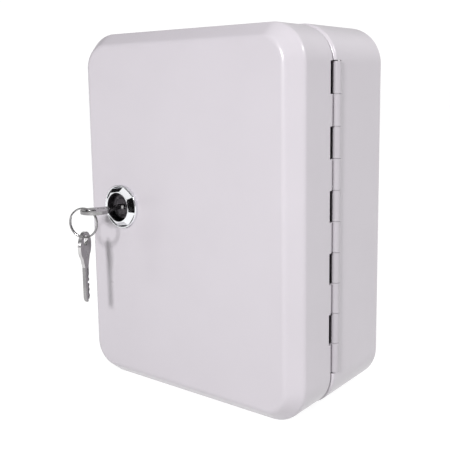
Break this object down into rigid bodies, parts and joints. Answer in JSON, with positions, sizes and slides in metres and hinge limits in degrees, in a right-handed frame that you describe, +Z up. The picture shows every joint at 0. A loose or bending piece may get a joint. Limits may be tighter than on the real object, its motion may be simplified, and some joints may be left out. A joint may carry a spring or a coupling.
{
  "type": "key cabinet",
  "caption": "Small wall key cabinet in drawn steel, with a bevelled hinged door, a cam lock with its key in it, a spare key on a split ring, and hook bars inside.",
  "frame": {"origin": "middle of the four wall fixing holes, on the back face that lies on the wall", "axes": "+Z up along the height, -Y out of the wall towards the user, +X to the right seen from the front"},
  "size_m": [0.1493, 0.1189, 0.2],
  "materials": {
    "powder_coat": "smooth semi-gloss powder coat, pale lilac grey, over steel sheet",
    "zinc_steel": "zinc plated steel",
    "bezel_chrome": "bright chrome plate",
    "dark_plug": "black nickel plated die casting",
    "wafer_brass": "stamped brass",
    "card": "matt card",
    "key_nickel": "nickel plated, lightly brushed"
  },
  "bodies": {
    "cabinet": {"body_shell": "powder_coat", "hinge_leaf_body": "powder_coat", "hinge_pin": "zinc_steel", "lock_catch": "powder_coat", "hook_bar_1": "powder_coat", "hook_bar_2": "powder_coat", "hook_bar_3": "powder_coat", "hook_bar_4": "powder_coat", "bar_rivets": "zinc_steel", "number_strips": "card"},
    "door": {"door_shell": "powder_coat", "hinge_leaf_door": "powder_coat", "lock_housing": "bezel_chrome", "lock_washer": "zinc_steel", "lock_nut": "zinc_steel", "index_card": "card"},
    "plug": {"lock_plug": "dark_plug", "lock_wafers": "wafer_brass", "stop_washer": "zinc_steel", "lock_cam": "zinc_steel", "cam_screw": "zinc_steel"},
    "key": {"key_in_lock": "key_nickel"},
    "ring": {"key_ring": "key_nickel"},
    "spare": {"spare_key": "key_nickel"}
  },
  "joints": [
    {"name": "door_hinge", "type": "hinge", "parent": "cabinet", "child": "door", "pos_m": [0.0729, -0.0479, 0.001], "axis": [0, 0, 1], "range_deg": [0, 120]},
    {"name": "lock_turn", "type": "hinge", "parent": "door", "child": "plug", "pos_m": [-0.0417, -0.08, 0.0035], "axis": [0, -1, 0], "range_deg": [0, 90]},
    {"name": "key_slide", "type": "slide", "parent": "plug", "child": "key", "axis": [0, -1, 0], "range_m": [0, 0.018]},
    {"name": "ring_swing", "type": "hinge", "parent": "key", "child": "ring", "pos_m": [-0.04582, -0.11136, -0.00255], "axis": [0.3746, -0.9272, 0], "range_deg": [-45, 45]},
    {"name": "spare_key_swing", "type": "hinge", "parent": "ring", "child": "spare", "pos_m": [-0.04582, -0.11136, -0.0104], "axis": [0.9272, 0.3746, 0], "range_deg": [-75, 40]}
  ]
}
